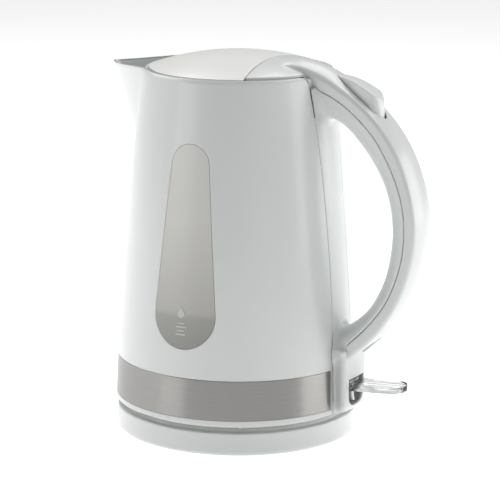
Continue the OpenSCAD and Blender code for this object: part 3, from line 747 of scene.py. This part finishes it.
def jug_place(u, v):
    """Angle and height of the jug's grid point.

    u counts columns round from one side of the handle's strip to the other. v is the height, and
    the rows above SLOPE_FROM_Z close up to meet the rim, which is lower at the spout and rounded
    off at the strip.
    """
    z0 = np.clip(v, JUG_LOW_Z, RIM_Z)
    r = jug_radius(z0)
    start = np.arcsin((spine_half_width(z0) + SEAM / 2) / r)
    strip = STRIP / r
    middle = (u - 1) / (JUG_COLUMNS - 2) * (TURN - 2 * start - 2 * strip)
    angle = start + strip + middle
    angle = np.where(u < 1, start + strip * u, angle)
    angle = np.where(u > JUG_COLUMNS - 1, TURN - start - strip * (JUG_COLUMNS - u), angle)
    off = np.abs(np.degrees(angle - math.pi))
    top = RIM_Z - (RIM_Z - SPOUT_Z - 0.4) * (1 - smoothstep(4, 31, off))
    to_seam = np.maximum(CORNER_R - np.minimum(angle - start, TURN - start - angle) * r, 0)
    top = top - CORNER_R + np.sqrt(CORNER_R**2 - np.minimum(to_seam, CORNER_R) ** 2)
    share = (v - SLOPE_FROM_Z) / (RIM_Z - SLOPE_FROM_Z)
    z = np.where(v > SLOPE_FROM_Z, SLOPE_FROM_Z + (top - SLOPE_FROM_Z) * share, v)
    return angle, z


def polar(angle, r, z):
    """Points from cylinder coordinates."""
    return np.stack([r * np.cos(angle), r * np.sin(angle), z], -1)


def jug_outer(u, v):
    """Outside of the jug with its spout, its rounded rim and the recess of the band."""
    angle, z = jug_place(u, v)
    t = np.clip((v - (RIM_Z - RIM_ROUND_H)) / RIM_ROUND_H, 0, 1)
    drop = 1 - np.sqrt(1 - t * t)
    r = jug_radius(z) - RIM_ROUND_IN * drop
    lip = spout_radius(angle, z) - LIP_ROUND_IN * drop
    recess = (z > RECESS_LOW_Z) & (z < RECESS_HIGH_Z) & (u > 1.01) & (u < JUG_COLUMNS - 1.01)
    r = np.where(recess, r - BAND_THICK - BAND_GAP, r)
    return polar(angle, smooth_max(r, lip, SPOUT_BLEND), z)


def jug_inner(u, v):
    """Inside of the jug and of the spout."""
    angle, z = jug_place(u, v)
    r = jug_radius(z) - JUG_WALL
    r = np.where(v > RIM_IN_Z, np.minimum(r, RIM_IN_R), r)
    return polar(angle, smooth_max(r, spout_radius(angle, z, SPOUT_WALL), SPOUT_BLEND), z)


def jug_keep(u, v):
    """Negative where the jug has a wall, positive in the windows."""
    angle, z = jug_place(u, v)
    return -window_distance(jug_radius(z) * np.cos(angle), z)


def rows_with_steps(low, high, count, steps):
    """Even rows from low to high with a close pair of rows at each step."""
    rows = [v for v in np.linspace(low, high, count) if all(abs(v - s) > 0.5 for s in steps)]
    return np.array(sorted(rows + [s + d for s in steps for d in (-0.03, 0.03)]))


def keep_all(u, v):
    """Negative everywhere, for a grid that isn't trimmed."""
    return np.full(np.broadcast(u, v).shape, -1.0)


edge_columns = np.array([0, 0.5, 1.0, 1.02])
middle_columns = np.arange(2, JUG_COLUMNS - 1)
columns = np.concatenate([edge_columns, middle_columns, JUG_COLUMNS - edge_columns[::-1]])
rows = rows_with_steps(JUG_LOW_Z, RIM_Z - RIM_ROUND_H, JUG_ROWS, (RECESS_LOW_Z, RECESS_HIGH_Z))
round_steps = np.linspace(0, math.pi / 2, 9)[1:]
rows = np.concatenate([rows, RIM_Z - RIM_ROUND_H * (1 - np.sin(round_steps))])
jug_domain = cut_domain(columns, rows, jug_keep)
jug = make_object("jug_shell", *thick_sheet(jug_domain, jug_outer, jug_inner, 0.5))
piece(jug, "kettle", white_gloss, "jug_body", "spout", slot="white_gloss_plastic")


THROAT_HALF_W, THROAT_LOW_Z, THROAT_HIGH_Z = 11.0, 22.0, 43.0
LINER_OVERLAP = 4
LINER_DEPTHS = (JUG_WALL + 0.15, 5.4)


def liner_place(depth):
    """The jug's wall behind the handle's strip."""

    def place(u, v):
        r = jug_radius(v)
        return polar(u * (spine_half_width(v) + LINER_OVERLAP) / r, r - depth, v)

    return place


def liner_keep(u, v):
    """Negative outside the opening for the lever."""
    across = np.abs(u) * (spine_half_width(v) + LINER_OVERLAP) - THROAT_HALF_W
    return -np.maximum(across, np.maximum(THROAT_LOW_Z - v, v - THROAT_HIGH_Z))


liner_rows = np.linspace(JUG_LOW_Z + 0.3, RIM_IN_Z, 150)
liner_grid = cut_domain(np.linspace(-1, 1, 40), liner_rows, liner_keep)
liner_faces = [liner_place(depth) for depth in LINER_DEPTHS]
liner = make_object("jug_liner", *thick_sheet(liner_grid, *liner_faces, 0.3))
piece(liner, "kettle", white_gloss, slot="white_gloss_plastic")


BRIDGE_HALF = math.radians(36)
BRIDGE_WALL = 1.9


def bridge_place(depth):
    """The rim's arc that runs between the spout and the lid, over the filter."""

    def place(u, v):
        return polar(math.pi + u * BRIDGE_HALF, RIM_IN_R + BRIDGE_WALL - depth, v)

    return place


bridge_rows = np.linspace(213.5, RIM_Z - 0.1, 16)
bridge_grid = cut_domain(np.linspace(-1, 1, 90), bridge_rows, keep_all)
bridge_faces = [bridge_place(depth) for depth in (0, BRIDGE_WALL)]
bridge = make_object("rim_bridge", *thick_sheet(bridge_grid, *bridge_faces, 0.85))
piece(bridge, "kettle", white_gloss, slot="white_gloss_plastic")


# ---------------------------------------------------------------- windows and band
PANE_HALF = 24.0
PANE_DEPTH, PANE_GAP = 0.12, 0.12


def side_surface(side, depth):
    """The jug's surface about a window, as x from the window's middle and height. side is -1 or 1."""

    def place(x, z):
        r = jug_radius(z)
        angle = side * np.arccos(np.clip((WINDOW_X + x) / r, -1, 1))
        return polar(angle, r - depth, z)

    return place


def window_pane(name, side, node):
    """One pane: a curved teardrop sheet that lies just under the surface of the jug."""

    def keep(x, z):
        return window_distance(WINDOW_X + x, z) + PANE_GAP

    xs = np.linspace(-PANE_HALF, PANE_HALF, 49)
    zs = np.linspace(WINDOW_LOW_Z - WINDOW_LOW_R - 2, WINDOW_HIGH_Z + WINDOW_HIGH_R + 2, 130)
    faces = [side_surface(side, depth) for depth in (PANE_DEPTH, JUG_WALL - 0.1)]
    mesh = thick_sheet(cut_domain(xs, zs, keep), *faces, 0.25)
    piece(make_object(name, *mesh), "kettle", window_plastic, node, slot="window_plastic")


window_pane("window_pane_near", -1, "window_near")
window_pane("window_pane_far", 1, "window_far")

MARK_X, MARK_LOW_Z = -1.3, 74.0
LINE_COUNT, LINE_PITCH, LINE_HALF_H = 4, 2.25, 0.45
LONG_HALF, SHORT_HALF = 3.4, 2.2
DROP_Z, DROP_R = MARK_LOW_Z + 12.4, 2.3


def level_mark(name, side):
    """A plain moulded water mark: a drop over a stack of short lines."""

    def keep(x, z):
        across = np.abs(x - MARK_X)
        mark = np.hypot(across, z - DROP_Z) - DROP_R
        tip = np.maximum(across + 0.62 * (z - DROP_Z) - 2.8, DROP_Z - z)
        mark = np.minimum(mark, tip)
        for i in range(LINE_COUNT):
            half = SHORT_HALF if i % 2 else LONG_HALF
            line = np.abs(z - MARK_LOW_Z - i * LINE_PITCH) - LINE_HALF_H
            mark = np.minimum(mark, np.maximum(across - half, line))
        return mark

    xs = np.linspace(-6, 4, 61)
    zs = np.linspace(MARK_LOW_Z - 1.5, MARK_LOW_Z + 18.5, 121)
    faces = [side_surface(side, depth) for depth in (PANE_DEPTH - 0.22, PANE_DEPTH + 0.2)]
    mesh = thick_sheet(cut_domain(xs, zs, keep), *faces, 0.12)
    piece(make_object(name, *mesh), "kettle", mark_plastic, slot="window_plastic")


level_mark("level_mark_near", -1)
level_mark("level_mark_far", 1)


def band_place(depth):
    """The band's surface at a depth under the jug's surface."""

    def place(u, v):
        r = jug_radius(v)
        start = np.arcsin((spine_half_width(v) + SEAM / 2) / r) + (STRIP + 0.9) / r
        return polar(start + u * (TURN - 2 * start), r - depth, v)

    return place


band_rows = np.linspace(BAND_LOW_Z + 0.1, BAND_HIGH_Z - 0.15, 14)
band_grid = cut_domain(np.linspace(0, 1, 400), band_rows, keep_all)
band_faces = [band_place(depth) for depth in (0.05, BAND_THICK)]
band = make_object("steel_band", *thick_sheet(band_grid, *band_faces, 0.2))
piece(band, "kettle", band_steel, "decor_band", slot="band_steel")


# ---------------------------------------------------------------- lid
SEAM_GAP = 0.35
LID_LIP, LID_LIP_BACK = 1.0, 1.9
LID_WALL, LID_EDGE = 2.2, 5.2
LID_EDGE_FROM_TO = (51.0, 52.6)


def disc(a, b):
    """A square grid's point, -1 to 1 each way, bent to the round plan of the lid."""
    return LID_R * a * np.sqrt(1 - b * b / 2), LID_R * b * np.sqrt(1 - a * a / 2)


def lid_outer(a, b):
    """Top of the lid."""
    x, y = disc(a, b)
    return np.stack([x, y, dome_height(x, y)], -1)


def lid_inner(a, b):
    """Underside of the lid: thin at the seam and deep at the rim."""
    x, y = disc(a, b)
    from_seam = seam_x(y) - x
    rim = smoothstep(*LID_EDGE_FROM_TO, np.hypot(x, y)) * smoothstep(2.2, 4.5, from_seam)
    wall = LID_WALL + (LID_EDGE - LID_WALL) * rim
    wall = LID_LIP + (wall - LID_LIP) * smoothstep(LID_LIP_BACK - 0.6, LID_LIP_BACK + 0.6, from_seam)
    return np.stack([x, y, dome_height(x, y) - wall], -1)


def lid_keep(a, b):
    """Negative in front of the lid's seam."""
    x, y = disc(a, b)
    return x - (seam_x(y) - SEAM_GAP / 2)


sides = np.linspace(-1, 1, 110)
lid = make_object("lid_shell", *thick_sheet(cut_domain(sides, sides, lid_keep), lid_outer, lid_inner, 0.3))
piece(lid, "lid", lid_white, "lid_cover", slot="lid_plastic")


RIB_BACK, RIB_HALF_W = 3.4, 30.0


def rib_field(x, y, z):
    """A rounded rib under the lid's seam that stiffens it."""
    from_seam = seam_x(y) - SEAM_GAP - x
    rib = np.maximum(-from_seam, from_seam - RIB_BACK)
    rib = smooth_max(rib, np.abs(y) - RIB_HALF_W, 1.0)
    dome = dome_height(x, y)
    return smooth_max(rib, np.maximum(z - dome + 0.6, dome - 4.2 - z), 0.8)


rib = moulding("lid_seam_rib", rib_field, (16, -31, 226), (27, 31, 236), 0.5)
piece(rib, "lid", lid_white, slot="lid_plastic")


# ---------------------------------------------------------------- handle
HOOD_R, HOOD_LOW_Z = 52.7, 224.9
ARM_FLOOR_Z, HOLLOW_LOW_Z = 54.6, 70.0

# The collar sits in the jug's mouth under the hood, and the plug fills the mouth's gap at the strip
COLLAR_OUT_R, COLLAR_IN_R, COLLAR_Z, COLLAR_HALF_H = 54.6, 49.0, 223.2, 1.3
PLUG_IN_R, PLUG_Z, PLUG_HALF_H = 50.0, 220.4, 3.6

# The button's side view, as (x, z) from its front
BUTTON_LINE = Line([
    (60, 226.6), (67.5, 226.3), (72.5, 225.5), (78.8, 223.9), (85.2, 221.2), (90.6, 218.4),
    (94.4, 215.4), (96.4, 211.4), (97.4, 206), (98, 200), (98.4, 193)])
BUTTON_HALF_W, BUTTON_WIDE_X, BUTTON_NOSE, BUTTON_DEPTH = 7.3, 93.0, 26.0, 6.0
BUTTON_END_X, BUTTON_END_CURVE = 97.2, 0.09
WELL_START_X, WELL_END_X, WELL_DEPTH, WELL_GAP = 67.6, 98.4, 6.5, 0.4


def crowned(y, half, height):
    """How much a crowned face drops at y."""
    return height * (y / half) ** 2


def arm_crown(x, z):
    """Height of the arm's crown: high where it leaves the dome and low on the grip."""
    return 1.7 + 1.5 * (1 - smoothstep(60, 96, x)) * smoothstep(185, 206, z)


def arm_body(x, y, z, deeper=0.0):
    """The arm's outer half as a solid, with its walls moved in by deeper."""
    face = OUTER.distance(x, z) + crowned(y, HANDLE_HALF_W, arm_crown(x, z)) + deeper
    return smooth_max(face, np.abs(y) - HANDLE_HALF_W + deeper, 2.2)


def hood_body(x, y, z, deeper=0.0):
    """The fixed rear part of the dome as a solid."""
    ball = np.sqrt(x * x + y * y + (z - DOME_Z) ** 2) - DOME_R + deeper
    return smooth_max(ball, np.hypot(x, y) - HOOD_R + deeper, 1.2)


def button_half(x):
    """Half width of the release button at x: a leaf, pointed at the front."""
    to_nose = (BUTTON_WIDE_X - np.minimum(x, BUTTON_WIDE_X)) / BUTTON_NOSE
    return BUTTON_HALF_W * np.sqrt(np.clip(1 - to_nose**2, 0, 1))


def cover_field(x, y, z):
    """Outer half of the handle with the hood and the well of the button."""
    arm = np.maximum(arm_body(x, y, z), SEAM / 2 - JOINT.distance(x, z))
    arm = smooth_max(arm, ARM_FLOOR_Z - z, 0.6)
    hood = np.maximum(hood_body(x, y, z), HOOD_LOW_Z - z)
    whole = smooth_min(arm, hood, 1.8)
    arm_hollow = np.maximum(arm_body(x, y, z, HANDLE_WALL), HOLLOW_LOW_Z - z)
    whole = np.maximum(whole, -np.minimum(arm_hollow, hood_body(x, y, z, LID_WALL)))

    r = np.hypot(x, y)
    collar = np.maximum(r - COLLAR_OUT_R, COLLAR_IN_R - r)
    collar = smooth_max(collar, slab(z, COLLAR_Z, COLLAR_HALF_H), 0.5)
    plug = np.maximum(r - jug_radius(z) + 1.0, PLUG_IN_R - r)
    plug_sides = np.abs(y) - spine_half_width(z) + 0.5
    plug = smooth_max(plug, np.maximum(plug_sides, slab(z, PLUG_Z, PLUG_HALF_H)), 0.8)
    whole = np.minimum(whole, np.minimum(collar, plug))

    well = np.abs(y) - button_half(x) - WELL_GAP
    well = np.maximum(well, -WELL_DEPTH - OUTER.distance(x, z))
    well_end = x - WELL_END_X + BUTTON_END_CURVE * y * y
    well = smooth_max(well, np.maximum(WELL_START_X - x, well_end), 1.0)
    whole = smooth_max(whole, -well, 0.9)
    return smooth_max(whole, seam_x(y) + SEAM_GAP / 2 - x, 0.5)


cover = moulding("handle_cover_shell", cover_field, (24, -56, 56), (127, 56, 236), 0.62)
piece(cover, "kettle", white_gloss, "handle_cover", slot="white_gloss_plastic")


# The pocket behind the lever, and the way through the jug's wall for the lever's stub
POCKET_X, POCKET_HALF_W, POCKET_LOW_Z, POCKET_HIGH_Z = 80.3, 12.6, 22.8, 57.0
STUB_WAY_HALF_W, STUB_WAY_HALF_H = 3.4, 4.6

# The grip's inner half is about an ellipse; this turns its share of the section into millimetres
GRIP_SCALE = 12.0


def boss_half(x):
    """Half width of the rear housing: it narrows in a hollow curve towards the jug."""
    return 13.7 + 2.1 * smoothstep(73.0, 81.5, x)


def frame_field(x, y, z):
    """Inner half of the handle, the spine on the jug and the rear housing, in one moulding."""
    joint = JOINT.distance(x, z)
    depth = -joint
    across = np.maximum(depth + INNER.distance(x, z), 4.0)
    share = np.clip(depth / across, 0, 3)
    grip = (np.sqrt((y / HANDLE_HALF_W) ** 2 + share**2) - 1) * GRIP_SCALE
    grip = smooth_max(grip, joint + SEAM / 2, 0.5)

    r, wall = np.hypot(x, y), jug_radius(z)
    under_wall = wall - JUG_WALL - r
    strip = spine_half_width(z) - SEAM / 2
    spine = smooth_max(np.maximum(r - wall, under_wall), np.abs(y) - strip, 0.5)
    spine = np.maximum(spine, np.maximum(SPINE_LOW_Z - z, z - SPINE_HIGH_Z))

    rear = smooth_max(x - BOSS_X + 0.006 * y * y, np.abs(y) - boss_half(x), 3.4)
    rear = smooth_max(rear, SPINE_LOW_Z - z, 6.5)
    rear = smooth_max(rear, z - BOSS_TOP_Z + 0.2, 1.5)
    rear = smooth_max(rear, 66.0 - x, 0.5)

    whole = smooth_min(smooth_min(rear, spine, 3.0), grip, 6.0)
    beside_strip = np.maximum(r - wall - 0.12, strip - np.abs(y))
    whole = np.maximum(np.maximum(whole, -beside_strip), under_wall)

    slot = np.maximum(np.abs(y) - SLOT_HALF_W, np.maximum(69 - x, z - SLOT_HIGH_Z))
    slot = smooth_max(slot, SLOT_LOW_Z - z, 8.0)
    pocket = np.maximum(np.maximum(wall - 0.9 - r, x - POCKET_X), np.abs(y) - POCKET_HALF_W)
    pocket = np.maximum(pocket, np.maximum(POCKET_LOW_Z - z, z - POCKET_HIGH_Z))
    stub_way = np.maximum(np.abs(y) - STUB_WAY_HALF_W, slab(z, LEVER_Z, STUB_WAY_HALF_H))
    return smooth_max(whole, -np.minimum(np.minimum(slot, pocket), stub_way), 0.5)


handle_frame = moulding("handle_frame_shell", frame_field, (54, -18, 19), (119, 18, 219), 0.62)
piece(handle_frame, "kettle", white_gloss, "handle_frame", slot="white_gloss_plastic")


def button_field(x, y, z):
    """The release button: a crowned leaf that stands proud of the arm."""
    top = BUTTON_LINE.distance(x, z) + crowned(y, BUTTON_HALF_W, 0.5)
    leaf = smooth_max(top, np.abs(y) - button_half(x), 1.1)
    leaf = smooth_max(leaf, x - BUTTON_END_X + BUTTON_END_CURVE * y * y, 1.6)
    return np.maximum(leaf, -BUTTON_DEPTH - OUTER.distance(x, z))


button = moulding("button_cap", button_field, (66, -8.5, 190), (100, 8.5, 228), 0.42)
piece(button, "button", white_gloss, "release_button", slot="white_gloss_plastic")


LEVER_RIB = 4.4
LEVER_OVER, LEVER_UNDER, LEVER_TILT = 1.9, 2.5, 0.055
LEVER_HUB_R, LEVER_BORE_R = 3.0, 1.55


def lever_field(x, y, z):
    """The clear switch lever: a flat paddle with a raised rim and long ribs below."""
    middle = LEVER_Z + LEVER_TILT * (x - LEVER_X)
    tip = np.hypot(np.maximum(x - (LEVER_TIP_X - LEVER_HALF_W), 0), y) - LEVER_HALF_W
    plan = np.maximum(tip, LEVER_X - 1 - x)
    inside = smoothstep(0.8, 1.8, -tip)
    top = z - middle - LEVER_OVER + 0.45 * inside
    ribs = 0.5 * inside * (1 + np.cos(TURN * y / LEVER_RIB))
    low = middle - LEVER_UNDER - z + ribs
    paddle = smooth_max(smooth_max(top, low, 0.5), plan, 0.9)
    from_pin = np.hypot(x - LEVER_X, z - LEVER_Z)
    hub = np.maximum(from_pin - LEVER_HUB_R, np.abs(y) - LEVER_HALF_W)
    stub = np.maximum(np.abs(y) - 2.6, slab(z, LEVER_Z - 0.1, 1.5))
    stub = np.maximum(stub, np.maximum(67 - x, x - LEVER_X))
    whole = np.minimum(smooth_min(paddle, hub, 1.0), stub)
    return np.maximum(whole, LEVER_BORE_R - from_pin)


lever = moulding("lever_paddle", lever_field, (66, -10, 26), (117, 10, 42), 0.35)
piece(lever, "switch", lever_plastic, "switch_lever", slot="lever_plastic")


def tongue_field(x, y, z):
    """The white tongue below the lever, a thin curved blade."""
    bow = x - LEVER_X - 1.6 - 0.06 * (z - LEVER_Z + 6) ** 2
    blade = smooth_max(np.abs(bow) - 1.2, np.abs(y) - 1.5, 0.8)
    return smooth_max(blade, slab(z, LEVER_Z - 6.2, 4.0), 0.8)


tongue = moulding("lever_tongue", tongue_field, (74, -3, 25), (83, 3, 36), 0.3)
piece(tongue, "switch", white_matte, slot="white_matte_plastic")


PIVOT_X, PIVOT_Z, PIVOT_R, PIVOT_HALF = 70.5, 219.6, 1.0, 9.4


def pivot_field(x, y, z):
    """The button's pin with rounded ends."""
    return smooth_max(np.hypot(x - PIVOT_X, z - PIVOT_Z) - PIVOT_R, np.abs(y) - PIVOT_HALF, 0.4)


pivot = moulding("button_pivot", pivot_field, (69, -10, 218), (72, 10, 221), 0.25)
piece(pivot, "kettle", screw_steel, "button_pin", slot="screw_steel")


# ---------------------------------------------------------------- power base
BASE_LOW_Z, BASE_LIP_Z = 1.2, 5.0
BASE_LIP_R, BASE_IN_R, BASE_HOLE_R = 69.4, 72.0, 19.6

# The housing's section as (radius, height, corner radius): up the outside, then back inside
base_outline = rounded_outline([
    (BASE_LIP_R, BASE_LOW_Z, 0.5), (BASE_R, BASE_LOW_Z, 2.6), (BASE_R, BASE_EDGE_Z, 1.0),
    (70.6, BASE_EDGE_Z, 0.4), (69.6, BASE_LAND_Z, 0.6), (BASE_HOLE_R, BASE_LAND_Z, 0.3),
    (BASE_HOLE_R, 15.0, 0.2), (68.0, 15.0, 0.6), (BASE_IN_R, 13.1, 0.6),
    (BASE_IN_R, BASE_LIP_Z, 0.6), (BASE_LIP_R, BASE_LIP_Z, 0.2),
])
base = make_object("base_housing", *revolved(base_outline, 256))
hard_finish(base)
piece(base, "power_base", white_gloss, "base_shell", slot="white_gloss_plastic")
